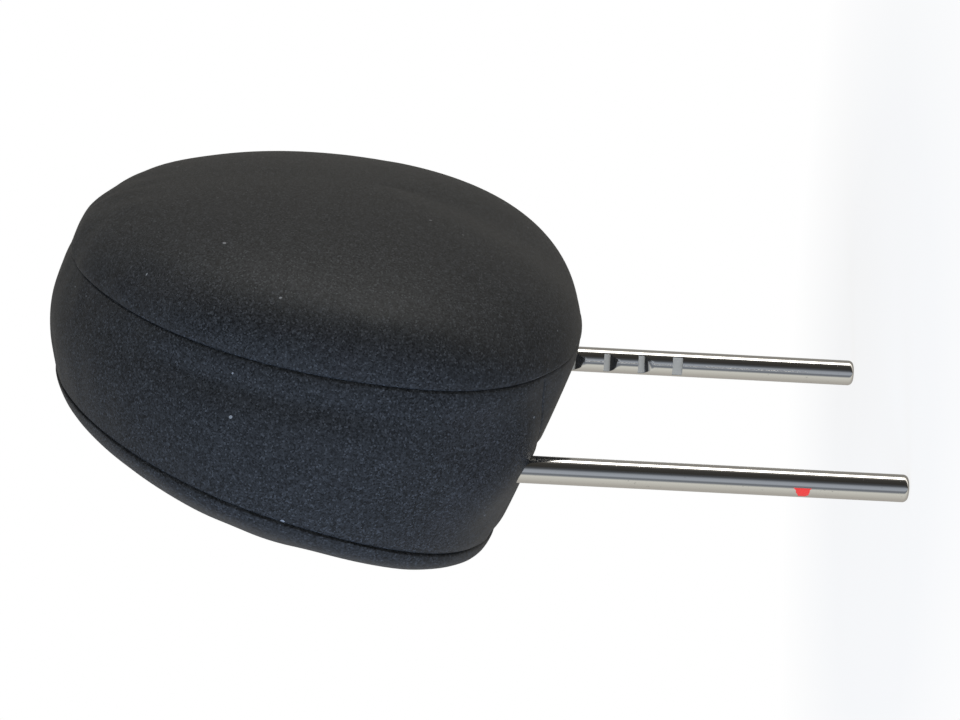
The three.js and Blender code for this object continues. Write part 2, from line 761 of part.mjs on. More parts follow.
const chrome = new THREE.MeshStandardMaterial({ color: 0xc8c6c2, roughness: 0.15, metalness: 1 });
const fabric = new THREE.MeshStandardMaterial({ color: 0x26282b, roughness: 0.95, metalness: 0 });
const threadMaterial = new THREE.MeshStandardMaterial({ color: 0x17181a, roughness: 0.8, metalness: 0 });
const foamMaterial = new THREE.MeshStandardMaterial({ color: 0xb9b29a, roughness: 1, metalness: 0 });
const corePlastic = new THREE.MeshStandardMaterial({ color: 0x1d1d1f, roughness: 0.6, metalness: 0 });
const hookPlastic = new THREE.MeshStandardMaterial({ color: 0xd8d8d2, roughness: 0.5, metalness: 0 });
const screwSteel = new THREE.MeshStandardMaterial({ color: 0x9a9a96, roughness: 0.4, metalness: 1 });

const headrest = new THREE.Group();

function place(name, shape, material) {
  const geometry = shape.isBufferGeometry ? shape : geometryOf(shape);
  geometry.computeVertexNormals();
  const mesh = new THREE.Mesh(geometry, material);
  mesh.name = name;
  headrest.add(mesh);
}

place('post_rod', makeRod(), chrome);
place('core_front_shell', makeCoreShell(-1, CORE_FRONT_DEPTH), corePlastic);
place('core_rear_shell', makeCoreShell(1, CORE_REAR_DEPTH), corePlastic);
screwPlaces().forEach(([x, z], i) => place(`core_screw_${i + 1}`, makeScrew(x, z), screwSteel));
place('foam_cushion', makeFoam(), foamMaterial);
place('cover_front_panel', makeCrownPanel(frontSeam), fabric);
place('cover_side_band', makeSideBand(), fabric);
place('cover_back_panel', makeCrownPanel(backSeam), fabric);
place('cover_underside_front', makeUndersideFlap(-1), fabric);
place('cover_underside_rear', makeUndersideFlap(1), fabric);
place('closure_hook_front', makeFrontHook(), hookPlastic);
place('closure_hook_rear', makeRearHook(), hookPlastic);
place('front_seam_thread', makeSeamThread(frontSeam), threadMaterial);
place('back_seam_thread', makeSeamThread(backSeam), threadMaterial);
place('corner_thread_right', makeCornerThread(1), threadMaterial);
place('corner_thread_left', makeCornerThread(-1), threadMaterial);

export default headrest;
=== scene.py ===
"""A car headrest: an oval fabric cushion on one bent, chromed steel rod, seen from its side."""
import math
from dataclasses import dataclass

import bmesh
import bpy
from mathutils import Matrix, Vector, kdtree


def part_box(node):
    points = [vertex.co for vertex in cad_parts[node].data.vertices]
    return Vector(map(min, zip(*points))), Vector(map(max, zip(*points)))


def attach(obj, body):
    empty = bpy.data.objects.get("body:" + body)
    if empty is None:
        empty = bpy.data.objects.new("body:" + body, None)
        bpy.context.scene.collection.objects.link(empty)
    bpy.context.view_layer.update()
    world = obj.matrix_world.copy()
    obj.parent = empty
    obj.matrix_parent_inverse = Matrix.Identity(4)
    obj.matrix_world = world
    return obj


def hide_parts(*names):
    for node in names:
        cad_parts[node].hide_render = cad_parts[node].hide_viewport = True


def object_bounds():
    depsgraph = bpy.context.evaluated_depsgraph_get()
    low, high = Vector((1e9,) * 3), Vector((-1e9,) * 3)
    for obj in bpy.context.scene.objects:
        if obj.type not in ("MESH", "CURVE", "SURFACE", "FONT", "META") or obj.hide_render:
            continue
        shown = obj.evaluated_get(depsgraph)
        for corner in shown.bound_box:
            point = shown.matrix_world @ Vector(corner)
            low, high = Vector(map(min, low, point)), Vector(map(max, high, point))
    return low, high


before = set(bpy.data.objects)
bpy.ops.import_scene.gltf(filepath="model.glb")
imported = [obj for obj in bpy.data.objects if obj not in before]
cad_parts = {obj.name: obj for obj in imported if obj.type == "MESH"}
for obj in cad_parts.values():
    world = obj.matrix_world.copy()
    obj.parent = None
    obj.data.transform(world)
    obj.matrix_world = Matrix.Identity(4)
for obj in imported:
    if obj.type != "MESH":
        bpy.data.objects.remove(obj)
cad_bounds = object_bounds()
BODY = "root"


# Studio
# A pale floor under the posts and soft light from the front, the back and above. What chrome
# mirrors is a ring of light and dark round the object, as the walls of a plain room give.
FLOOR_RADIUS = 0.30
FLOOR_GAP = 0.0005
FLOOR_WHITE = 0.86
FLOOR_GLOW = 0.86
FLOOR_GLOW_FROM = 0.12
FLOOR_GLOW_TO = FLOOR_RADIUS * 0.95
WORLD_FILL = 0.33
FILL_TINT = (0.91, 0.98, 1.12)


class Value:
    """A shader socket whose operators add Math nodes."""

    def __init__(self, shader, socket):
        self.shader = shader
        self.socket = socket

    def math(self, operation, *others):
        return self.shader.add("ShaderNodeMath", {"operation": operation}, [self, *others])

    def __add__(self, other):
        return self.math("ADD", other)

    def __radd__(self, other):
        return self.math("ADD", other)

    def __sub__(self, other):
        return self.math("SUBTRACT", other)

    def __rsub__(self, other):
        return self.shader.add("ShaderNodeMath", {"operation": "SUBTRACT"}, [other, self])

    def __mul__(self, other):
        return self.math("MULTIPLY", other)

    def __rmul__(self, other):
        return self.math("MULTIPLY", other)

    def __truediv__(self, other):
        return self.math("DIVIDE", other)

    def __rtruediv__(self, other):
        return self.shader.add("ShaderNodeMath", {"operation": "DIVIDE"}, [other, self])

    def __gt__(self, other):
        return self.math("GREATER_THAN", other)

    def __lt__(self, other):
        return self.math("LESS_THAN", other)


class Shader:
    """The nodes of one material or world."""

    def __init__(self, owner):
        owner.use_nodes = True
        self.tree = owner.node_tree
        self.tree.nodes.clear()

    def add(self, kind, settings=None, inputs=None, out=0):
        """One node: its settings are made first, then its inputs get a number, colour or link."""
        node = self.tree.nodes.new(kind)
        for name, value in (settings or {}).items():
            if name == "stops":
                self.set_stops(node.color_ramp, value)
            else:
                setattr(node, name, value)
        pairs = inputs.items() if isinstance(inputs, dict) else enumerate(inputs or [])
        for key, value in pairs:
            self.feed(node.inputs[key], value)
        return Value(self, node.outputs[out]) if len(node.outputs) else node

    def feed(self, socket, value):
        if isinstance(value, Value):
            self.tree.links.new(value.socket, socket)
        else:
            socket.default_value = value

    def set_stops(self, ramp, stops):
        while len(ramp.elements) < len(stops):
            ramp.elements.new(1.0)
        for element, (place, colour) in zip(ramp.elements, stops):
            element.position = place
            element.color = (*colour, 1.0)

    def position(self):
        return self.add("ShaderNodeTexCoord", out="Object")

    def axes(self, vector):
        """The three parts of a vector or of a colour."""
        return [self.add("ShaderNodeSeparateXYZ", None, [vector], out=i) for i in range(3)]

    def noise(self, vector, scale, detail=2.0, rough=0.5):
        return self.add("ShaderNodeTexNoise", None,
                        {"Vector": vector, "Scale": scale, "Detail": detail, "Roughness": rough})

    def mix(self, share, one, two):
        """A colour that runs from one to two."""
        return self.add("ShaderNodeMix", {"data_type": "RGBA"}, {0: share, 6: one, 7: two}, out=2)

    def spread(self, value, low, high):
        """The value rescaled so that low gives 0 and high gives 1, and held between them."""
        return self.add("ShaderNodeMapRange", None, [value, low, high, 0.0, 1.0])

    def bump(self, height, strength, distance):
        return self.add("ShaderNodeBump", None,
                        {"Height": height, "Strength": strength, "Distance": distance})

    def surface(self, **sockets):
        """The closing Principled surface, its sockets named with underscores for spaces."""
        named = {name.replace("_", " "): value for name, value in sockets.items()}
        shade = self.add("ShaderNodeBsdfPrincipled", None, named)
        self.add("ShaderNodeOutputMaterial", None, {"Surface": shade})


def new_shader(name):
    """A new material and its nodes."""
    material = bpy.data.materials.new(name)
    return material, Shader(material)


def grey(level, tint=(1.0, 1.0, 1.0)):
    """A grey as a colour socket takes it, with a slight tint where one is given."""
    return (level * tint[0], level * tint[1], level * tint[2], 1.0)


def floor_material():
    """White to the eye, with the object's shadow, and melting into the background at its rim.
    What mirrors it sees the same room through it as beside it, and it is clear from below."""
    material, shader = new_shader("pale_floor")
    seen = shader.add("ShaderNodeLightPath", out="Is Camera Ray")
    mirrored = shader.add("ShaderNodeLightPath", out="Is Glossy Ray")
    through = shader.add("ShaderNodeLightPath", out="Is Transmission Ray")
    shown = seen.math("MAXIMUM", through)
    x, y, _ = shader.axes(shader.position())
    outwards = shader.spread((x * x + y * y).math("SQRT"), FLOOR_GLOW_FROM, FLOOR_GLOW_TO)
    share = outwards * (1.0 - FLOOR_GLOW) + FLOOR_GLOW
    matt = shader.add("ShaderNodeBsdfDiffuse", None, {"Color": grey(FLOOR_WHITE)})
    glow = shader.add("ShaderNodeEmission", None, {"Color": grey(1.0), "Strength": 1.0})
    both = shader.add("ShaderNodeMixShader", None, [shown * share, matt, glow])
    clear = shader.add("ShaderNodeBsdfTransparent")
    below = shader.add("ShaderNodeNewGeometry", out="Backfacing")
    either = shader.add("ShaderNodeMixShader", None, [mirrored.math("MAXIMUM", below), both, clear])
    shader.add("ShaderNodeOutputMaterial", None, {"Surface": either})
    return material


def lay_floor():
    low = cad_bounds[0][2]
    mesh = bpy.data.meshes.new("floor")
    bm = bmesh.new()
    bmesh.ops.create_circle(bm, cap_ends=True, segments=96, radius=FLOOR_RADIUS)
    bmesh.ops.translate(bm, verts=bm.verts, vec=(0, 0, low - FLOOR_GAP))
    bm.to_mesh(mesh)
    bm.free()
    floor = bpy.data.objects.new("floor", mesh)
    bpy.context.collection.objects.link(floor)
    mesh.materials.append(floor_material())


# The room as chrome mirrors it, by the angle round the posts: 0 is the side of the plain
# post, a quarter turn on is the front of the cushion. Each stop is (degrees, brightness, tint).
WARM = (1.0, 0.96, 0.88)
COOL = (0.88, 0.96, 1.08)
ROOM = [
    (-180, 0.34, WARM), (-118, 0.54, WARM), (-98, 0.57, WARM), (-36, 0.82, (1.0, 1.0, 0.92)),
    (-24, 0.27, COOL), (-14, 0.23, COOL), (-4, 0.52, COOL), (14, 0.46, COOL), (30, 0.10, COOL),
    (46, 0.045, WARM), (78, 0.06, WARM), (92, 0.30, WARM), (98, 1.60, WARM), (110, 1.60, WARM),
    (118, 0.75, WARM), (132, 0.28, WARM), (150, 0.34, WARM), (180, 0.34, WARM),
]


def room_light():
    world = bpy.data.worlds.new("room")
    bpy.context.scene.world = world
    shader = Shader(world)
    direction = shader.add("ShaderNodeTexCoord", out="Generated")
    x, y, _ = shader.axes(direction)
    angle = shader.add("ShaderNodeMath", {"operation": "ARCTAN2"}, [y * -1.0, x * -1.0])
    turn = angle / (2 * math.pi) + 0.5
    ring = shader.add("ShaderNodeValToRGB", {"stops": [
        (degrees / 360 + 0.5, tuple(level * part for part in tint)) for degrees, level, tint in ROOM
    ]}, [turn])
    seen = shader.add("ShaderNodeLightPath", out="Is Camera Ray")
    through = shader.add("ShaderNodeLightPath", out="Is Transmission Ray")
    mirrored = shader.add("ShaderNodeLightPath", out="Is Glossy Ray")
    lit = shader.mix(mirrored, grey(WORLD_FILL, FILL_TINT), ring)
    shown = shader.mix(seen.math("MAXIMUM", through), lit, grey(1.0))
    back = shader.add("ShaderNodeBackground", None, {"Color": shown, "Strength": 1.0})
    shader.add("ShaderNodeOutputWorld", None, {"Surface": back})


def hang_lamp(name, place, size, watts, tint, mirrored=False):
    """A soft lamp aimed at the cushion; size is its width and its height."""
    light = bpy.data.lights.new(name, "AREA")
    light.shape = "ELLIPSE"
    light.size, light.size_y = size
    light.energy = watts
    light.color = tint
    lamp = bpy.data.objects.new(name, light)
    lamp.location = place
    aim = LAMP_AIM - Vector(place)
    lamp.rotation_euler = aim.to_track_quat("-Z", "Y").to_euler()
    lamp.visible_glossy = mirrored
    bpy.context.collection.objects.link(lamp)


# The camera stands at the plain post's side, a little in front, and lies on its side, so that
# the posts run to the right in the picture.
CAMERA_PLACE = Vector((-1.3165, -0.3652, 0.0678))
CAMERA_AIM = Vector((0.0, -0.0185, 0.0150))
CAMERA_ROLL_DEGREES = 87.03
CAMERA_LENS = 135.0
CAMERA_SENSOR = 36.0
LAMP_AIM = Vector((0, 0, 0.05))


def set_camera():
    data = bpy.data.cameras.new("camera")
    data.lens = CAMERA_LENS
    data.sensor_width = CAMERA_SENSOR
    camera = bpy.data.objects.new("camera", data)
    upright = (CAMERA_AIM - CAMERA_PLACE).to_track_quat("-Z", "Y").to_matrix().to_4x4()
    rolled = upright @ Matrix.Rotation(math.radians(-CAMERA_ROLL_DEGREES), 4, "Z")
    camera.matrix_world = Matrix.Translation(CAMERA_PLACE) @ rolled
    bpy.context.collection.objects.link(camera)
    bpy.context.scene.camera = camera


bpy.context.scene.view_settings.view_transform = "Standard"
set_camera()
lay_floor()
room_light()
hang_lamp("front_lamp", (0.40, -1.65, 0.0), (0.6, 1.5), 10.0, (1.0, 0.99, 0.93), mirrored=True)
hang_lamp("side_lamp", (-1.40, -0.90, -0.05), (0.7, 0.7), 9.0, (0.97, 1.0, 1.0))
hang_lamp("crown_lamp", (-1.20, 0.0, 1.25), (0.7, 0.7), 11.0, (0.56, 0.74, 1.0))
hang_lamp("back_lamp", (-1.10, 1.25, 0.10), (0.7, 0.7), 34.0, (0.48, 0.66, 1.0))


# Posts
# Both posts and the crossbar inside are one round steel bar, bent into a U and chromed. One
# post has detent notches on its inner side; the tips are rounded over.
rod_low, rod_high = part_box("post_rod")
ROD_RADIUS = (rod_high.y - rod_low.y) / 2
POST_X = rod_high.x - ROD_RADIUS
TIP_Z = rod_low.z
CROSSBAR_Z = rod_high.z - ROD_RADIUS
BEND_RADIUS = 0.026
TIP_ROUNDING = 0.002
ROD_SIDES = 96
BEND_STEPS = 24
LEG_STEPS = 60
CROSSBAR_STEPS = 4
TIP_STEPS = 8
SAME_PLACE = 1e-6
SHARP_DEGREES = 32
NOTCH_DEPTH = 0.0016
NOTCH_PITCH = 0.0138
NOTCH_FLOOR = 0.002
NOTCH_RAMP = 0.004
STOP_NOTCH = 0.004
STOP_NOTCH_FROM_TIP = 0.0692
RAMPED_NOTCHES = 3


def add_piece(name, bm, material):
    """A finished mesh as an object at the origin that rides on the headrest."""
    mesh = bpy.data.meshes.new(name)
    bm.to_mesh(mesh)
    bm.free()
    piece = bpy.data.objects.new(name, mesh)
    bpy.context.collection.objects.link(piece)
    mesh.materials.append(material)
    for polygon in mesh.polygons:
        polygon.use_smooth = True
    return piece


def pull(bm, faces, vector, steps):
    """Extrudes faces along a vector in equal steps and returns the last ones."""
    for _ in range(steps):
        made = bmesh.ops.extrude_face_region(bm, geom=faces)["geom"]
        bmesh.ops.delete(bm, geom=faces, context="FACES_ONLY")
        verts = [part for part in made if isinstance(part, bmesh.types.BMVert)]
        bmesh.ops.translate(bm, verts=verts, vec=Vector(vector) / steps)
        faces = [part for part in made if isinstance(part, bmesh.types.BMFace)]
    return faces


def bend(bm, faces, centre, degrees):
    """Sweeps faces round an upright bend and returns the last ones."""
    around = set(faces)
    for face in faces:
        around.update(face.edges)
        around.update(face.verts)
    made = bmesh.ops.spin(bm, geom=list(around), cent=centre, axis=(0, -1, 0),
                          angle=math.radians(degrees), steps=BEND_STEPS, use_duplicate=False)
    return [part for part in made["geom_last"] if isinstance(part, bmesh.types.BMFace)]


def bent_bar():
    """The bar from one tip up, across and down to the other."""
    bm = bmesh.new()
    start = Matrix.Translation((POST_X, 0, TIP_Z + TIP_ROUNDING))
    bmesh.ops.create_circle(bm, cap_ends=True, segments=ROD_SIDES, radius=ROD_RADIUS, matrix=start)
    leg = CROSSBAR_Z - BEND_RADIUS - TIP_Z - TIP_ROUNDING
    inner = POST_X - BEND_RADIUS
    face = pull(bm, bm.faces[:], (0, 0, leg), LEG_STEPS)
    face = bend(bm, face, (inner, 0, CROSSBAR_Z - BEND_RADIUS), 90)
    face = pull(bm, face, (-2 * inner, 0, 0), CROSSBAR_STEPS)
    face = bend(bm, face, (-inner, 0, CROSSBAR_Z - BEND_RADIUS), 90)
    pull(bm, face, (0, 0, -leg), LEG_STEPS)
    close_tips(bm)
    bmesh.ops.recalc_face_normals(bm, faces=bm.faces)
    return bm


def close_tips(bm):
    """Rounds the open or capped lower ends over and leaves a small flat on each."""
    bmesh.ops.remove_doubles(bm, verts=bm.verts, dist=SAME_PLACE)
    level = TIP_Z + TIP_ROUNDING
    caps = [f for f in bm.faces if all(abs(v.co.z - level) < SAME_PLACE for v in f.verts)]
    bmesh.ops.delete(bm, geom=caps, context="FACES_ONLY")
    rims = [e for e in bm.edges if all(abs(v.co.z - level) < SAME_PLACE for v in e.verts)]
    for side in (-1, 1):
        rim = [e for e in rims if e.verts[0].co.x * side > 0]
        for step in range(1, TIP_STEPS + 1):
            turn = step / TIP_STEPS * math.pi / 2
            made = bmesh.ops.extrude_edge_only(bm, edges=rim)["geom"]
            verts = [part for part in made if isinstance(part, bmesh.types.BMVert)]
            rim = [part for part in made if isinstance(part, bmesh.types.BMEdge)]
            radius = ROD_RADIUS - TIP_ROUNDING * (1 - math.cos(turn))
            for vert in verts:
                flat = Vector((vert.co.x - side * POST_X, vert.co.y)).normalized() * radius
                vert.co = (side * POST_X + flat.x, flat.y, level - TIP_ROUNDING * math.sin(turn))
        bmesh.ops.contextual_create(bm, geom=rim)


def notch_cutter(wall_z, floor, ramp):
    """A block that cuts one notch: an upright wall, a flat floor and a ramp towards the tip."""
    surface = POST_X - ROD_RADIUS
    outline = [
        (surface - NOTCH_DEPTH, wall_z), (surface + NOTCH_DEPTH, wall_z),
        (surface + NOTCH_DEPTH, wall_z - floor), (surface - NOTCH_DEPTH, wall_z - floor - 2 * ramp),
    ]
    bm = bmesh.new()
    corners = [bm.verts.new((x, -2 * ROD_RADIUS, z)) for x, z in outline]
    face = bmesh.ops.contextual_create(bm, geom=corners)["faces"]
    made = bmesh.ops.extrude_face_region(bm, geom=face)["geom"]
    verts = [part for part in made if isinstance(part, bmesh.types.BMVert)]
    bmesh.ops.translate(bm, verts=verts, vec=(0, 4 * ROD_RADIUS, 0))
    bmesh.ops.recalc_face_normals(bm, faces=bm.faces)
    mesh = bpy.data.meshes.new("notch_cutter")
    bm.to_mesh(mesh)
    bm.free()
    cutter = bpy.data.objects.new("notch_cutter", mesh)
    bpy.context.collection.objects.link(cutter)
    return cutter


def apply_modifiers(piece):
    """Turns what the modifiers give into the piece's own mesh."""
    seen = piece.evaluated_get(bpy.context.evaluated_depsgraph_get())
    mesh = bpy.data.meshes.new_from_object(seen)
    piece.modifiers.clear()
    piece.data = mesh


def cut_notches(rod):
    """Cuts the square stop notch and the ramped ones above it."""
    stop = TIP_Z + STOP_NOTCH_FROM_TIP + STOP_NOTCH
    cutters = [notch_cutter(stop, STOP_NOTCH, 0.0)]
    for i in range(RAMPED_NOTCHES):
        cutters.append(notch_cutter(stop + (i + 1) * NOTCH_PITCH, NOTCH_FLOOR, NOTCH_RAMP))
    for cutter in cutters:
        cut = rod.modifiers.new("notch", "BOOLEAN")
        cut.operation = "DIFFERENCE"
        cut.solver = "EXACT"
        cut.object = cutter
    apply_modifiers(rod)
    for cutter in cutters:
        bpy.data.objects.remove(cutter)


# The red paint dab on the plain post: how far from the tip, and round which side
DAB_FROM_TIP = (0.0350, 0.0418)
DAB_TURN_DEGREES = (-52, -4)
DAB_SLANT = 0.0022
DAB_RAGGEDNESS = 0.0016
DAB_RED = (0.72, 0.035, 0.025, 1.0)
CHROME = grey(0.66, (1.0, 0.985, 0.965))
CHROME_IN_NOTCH = grey(0.92, (1.0, 1.0, 0.98))
CHROME_DIRT = grey(0.30)
# How far inside the bar's round a notch's floor and faces lie at least
NOTCH_FLOOR_MARGIN = 0.0002
NOTCH_FACE_MARGIN = 0.00012
NOTCHES_FROM_TIP = 0.01
# Scratches run along the posts
SCRATCH_SCALE = (1.0, 1.0, 0.12)


def chrome_material():
    """Bright chrome with fine scuffs and specks, duller notches and the red dab."""
    material, shader = new_shader("post_chrome")
    place = shader.position()
    x, y, z = shader.axes(place)
    aside = x.math("ABSOLUTE") - POST_X
    from_axis = (aside * aside + y * y).math("SQRT")
    on_leg = z < CROSSBAR_Z - BEND_RADIUS
    cut_back = POST_X - ROD_RADIUS + NOTCH_DEPTH - NOTCH_FLOOR_MARGIN
    inside = from_axis < ROD_RADIUS - NOTCH_FACE_MARGIN
    in_notch = inside * on_leg * (z > TIP_Z + NOTCHES_FROM_TIP) * (x > cut_back)
    haze = shader.noise(place, 60.0, 3.0)
    along = shader.add("ShaderNodeMapping", None, {"Vector": place, "Scale": SCRATCH_SCALE})
    scratches = shader.noise(along, 1400.0, 3.0, 0.7)
    dirt = shader.spread(shader.noise(place, 900.0, 1.0), 0.70, 0.78)
    from_tip = z - TIP_Z
    turn = shader.add("ShaderNodeMath", {"operation": "ARCTAN2"}, [y * -1.0, (x + POST_X) * -1.0])
    ragged = (shader.noise(place, 700.0, 2.0) - 0.5) * DAB_RAGGEDNESS
    low, high = DAB_FROM_TIP
    first, last = (math.radians(degrees) for degrees in DAB_TURN_DEGREES)
    slant = turn * DAB_SLANT
    dab = (from_tip + ragged + slant > low) * (from_tip + ragged - slant < high)
    dab = dab * (turn > first) * (turn < last) * (x < 0.0)
    steel = shader.mix(dirt * 0.35, CHROME, CHROME_DIRT)
    steel = shader.mix(in_notch, steel, CHROME_IN_NOTCH)
    colour = shader.mix(dab, steel, DAB_RED)
    rough = shader.spread(haze, 0.3, 0.8) * 0.07 + 0.06 + dirt * 0.2 + in_notch * 0.36
    rough = rough * (1.0 - dab) + dab * 0.45
    normal = shader.bump(scratches, 0.06, 0.00004)
    shader.surface(Base_Color=colour, Metallic=1.0 - dab, Roughness=rough, Normal=normal)
    return material


rod = add_piece("post_rod_finished", bent_bar(), chrome_material())
cut_notches(rod)
rod.data.set_sharp_from_angle(angle=math.radians(SHARP_DEGREES))
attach(rod, BODY)
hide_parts("post_rod")


# Core
# Inside the cushion two ribbed black plastic shells are clamped round the crossbar. They are
# moulded, split on the plane of the posts, and keep the CAD's own shape.
PLASTIC_DARK = grey(0.012)
PLASTIC_PALE = grey(0.022)


def core_material():
    """Black plastic with a fine moulded grain."""
    material, shader = new_shader("core_plastic")
    place = shader.position()
    grain = shader.noise(place, 2600.0, 2.0)
    cloud = shader.noise(place, 35.0, 2.0)
    colour = shader.mix(cloud, PLASTIC_DARK, PLASTIC_PALE)
    rough = shader.spread(grain, 0.0, 2.0) + 0.35
    normal = shader.bump(grain, 0.35, 0.0001)
    shader.surface(Base_Color=colour, Roughness=rough, Normal=normal)
    return material


def dress(node, material):
    """Gives a CAD node that keeps its own mesh its finish."""
    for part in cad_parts[node].material_slots:
        part.material = material


shell_plastic = core_material()
dress("core_front_shell", shell_plastic)
dress("core_rear_shell", shell_plastic)


# Screws
# Four zinc-plated thread-forming screws pull the two shells together. They are stock parts,
# driven from the rear, with their heads sunk in the rear shell.
SCREWS = 4
ZINC_DARK = grey(0.42, (1.0, 0.98, 0.9))
ZINC_PALE = grey(0.62)


def screw_material():
    """Cloudy zinc, a little rough."""
    material, shader = new_shader("screw_steel")
    place = shader.position()
    cloud = shader.noise(place, 400.0, 3.0)
    colour = shader.mix(cloud, ZINC_DARK, ZINC_PALE)
    shader.surface(Base_Color=colour, Metallic=1.0, Roughness=cloud * 0.3 + 0.22,
                   Normal=shader.bump(cloud, 0.2, 0.00005))
    return material


zinc = screw_material()
for number in range(1, SCREWS + 1):
    dress(f"core_screw_{number}", zinc)


# Cushion
# Moulded foam in a sewn cover of dark automotive cloth: a domed front panel, a side band, a
# shallow back panel and two underside flaps, joined by plain seams and drawn tight over it.
@dataclass
class Seam:
    """One oval seam and the crowned panel outside it, in metres. A share of 0 is the front."""
    share: int
    half_width: float
    centre: float
    up: float
    down: float
    # How square the oval is above and below its centre; 2 is an ellipse
    power_up: float
    power_down: float
    # Where it lies from front to back, how it leans and how far its ends turn
    y: float
    lean: float
    sweep: float
    # How high the panel stands, how full its shoulders are, and how much flatter it is between
    # its middle and its lower edge
    crown: float
    crown_power: float
    side_power: float
    lower_fall: float

    def point(self, angle, scale=1.0):
        """A point on the oval, or inside it where the scale is under 1."""
        upper = math.sin(angle) >= 0
        power = self.power_up if upper else self.power_down
        reach_z = self.up if upper else self.down
        total = (abs(math.cos(angle) / self.half_width) ** power
                 + abs(math.sin(angle) / reach_z) ** power)
        radius = scale * total ** (-1 / power)
        x, rise = radius * math.cos(angle), radius * math.sin(angle)
        y = self.y + self.lean * rise + self.sweep * (x / self.half_width) ** 2
        return Vector((x, y, self.centre + rise))

    def crown_point(self, station, turn, fullness):
        """A point on the panel: turn 0 is the seam and a quarter turn the top of the crown."""
        angle = slanted(station, self.share)
        power = self.crown_power + (self.side_power - self.crown_power) * math.cos(angle) ** 2
        point = self.point(angle, max(math.cos(turn), 0.0) ** (2 / power))
        rise = self.crown * math.sin(turn) ** (2 / power)
        rise *= 1 - self.lower_fall * max(-math.sin(angle), 0.0) * math.sin(2 * turn)
        rise -= SEAM_VALLEY * math.exp(-(rise / SEAM_VALLEY_REACH) ** 2)
        point.y += (2 * self.share - 1) * fullness * rise
        return point


FRONT = Seam(
    share=0, half_width=0.126, centre=0.0585, up=0.112, down=0.0805,
    power_up=2.08, power_down=2.55, y=-0.047, lean=-0.09, sweep=0.0063,
    crown=0.0386, crown_power=2.0, side_power=2.7, lower_fall=0.075,
)
BACK = Seam(
    share=1, half_width=0.1235, centre=0.093, up=0.082, down=0.0875,
    power_up=1.8, power_down=2.4, y=0.013, lean=-0.29, sweep=-0.0041,
    crown=0.0180, crown_power=2.8, side_power=2.8, lower_fall=0.0,
)
BAND_BULGE = 0.0034
# The fuller lower corners: degrees below the level and share of the band, and their reach
CORNER_FULLNESS = 0.007
CORNER_MIDDLE = (36, 0.5)
CORNER_REACH = (16, 0.42)
CORNER_SEAM_DEGREES = 34.5
CORNER_SEAM_SLANT = 27
CORNER_TURNS = (math.radians(180 + CORNER_SEAM_DEGREES), math.radians(360 - CORNER_SEAM_DEGREES))
# From this share of the corner seams' depth down, the band's middle is drawn to the posts' plane
UNDERSIDE_FROM = 0.6
COLUMNS = 240
FRONT_ROWS = 30
BAND_ROWS = 24
BACK_ROWS = 20
ROWS = FRONT_ROWS + BAND_ROWS + BACK_ROWS
BACK_SEAM_ROW = FRONT_ROWS + BAND_ROWS
CLOSING_ROW = FRONT_ROWS + BAND_ROWS // 2
# Rows lie closer together towards the seams
CROWN_CROWDING = 1.3
BAND_CROWDING = 0.6
# The filling pulls in softly on both sides of a seam
SEAM_VALLEY = 0.0007
SEAM_VALLEY_REACH = 0.0045
CORNER_VALLEY = 0.0003


def slanted(station, share):
    """The corner seams slant across the band, and the stations between them turn with them."""
    def turned(angle):
        return math.cos(angle) * (1 - math.sin(angle))
    corner = turned(math.radians(-CORNER_SEAM_DEGREES))
    return station - share * math.radians(CORNER_SEAM_SLANT) * turned(station) / corner


def swelling(distance, reach):
    """A smooth hump: 1 in the middle and 0 from its reach on."""
    return math.cos(distance / reach * math.pi / 2) ** 2 if abs(distance) < reach else 0.0


def band_bulge(angle, share):
    """How far the band stands out: flat on the underside and fuller at the lower corners."""
    below = math.degrees(math.atan2(-math.sin(angle), abs(math.cos(angle))))
    flattening = math.cos(angle) ** 2 if below > 0 else 1.0
    corner = (swelling(below - CORNER_MIDDLE[0], CORNER_REACH[0])
              * swelling(share - CORNER_MIDDLE[1], CORNER_REACH[1]))
    return 4 * BAND_BULGE * flattening * share * (1 - share) + CORNER_FULLNESS * corner


def middle_share(station):
    """Where the band crosses the plane of the posts, at a station on the underside."""
    share = 0.5
    for _ in range(5):
        angle = slanted(station, share)
        front, back = FRONT.point(angle).y, BACK.point(angle).y
        share = front / (front - back)
    return share


def underside_share(station, share):
    """On the underside the band's middle row is drawn onto the plane of the posts."""
    corner = math.sin(math.radians(CORNER_SEAM_DEGREES))
    below = -math.sin(station) - UNDERSIDE_FROM * corner
    weight = min(max(below / ((1 - UNDERSIDE_FROM) * corner), 0.0), 1.0)
    if weight == 0.0:
        return share
    return share + weight * (middle_share(station) - 0.5) * 4 * share * (1 - share)


def band_point(station, share, fullness):
    """A point on the band, which swells between the two seams and dips beside every seam."""
    share = underside_share(station, share)
    angle = slanted(station, share)
    front, back = FRONT.point(angle), BACK.point(angle)
    width = (back - front).length
    bulge = fullness * band_bulge(angle, share)
    for from_seam in (share * width, (1 - share) * width):
        bulge -= SEAM_VALLEY * math.exp(-(from_seam / SEAM_VALLEY_REACH) ** 2)
    for corner in CORNER_TURNS:
        aside = (station - corner) * FRONT.half_width
        bulge -= CORNER_VALLEY * math.exp(-(aside / SEAM_VALLEY_REACH) ** 2)
    outward = Vector((math.cos(angle), 0, math.sin(angle)))
    return front.lerp(back, share) + bulge * outward


def band_share(row):
    """How far across the band a row of the mesh lies, from the front seam to the back one."""
    share = (row - FRONT_ROWS) / BAND_ROWS
    return share - BAND_CROWDING * math.sin(2 * math.pi * share) / (2 * math.pi)


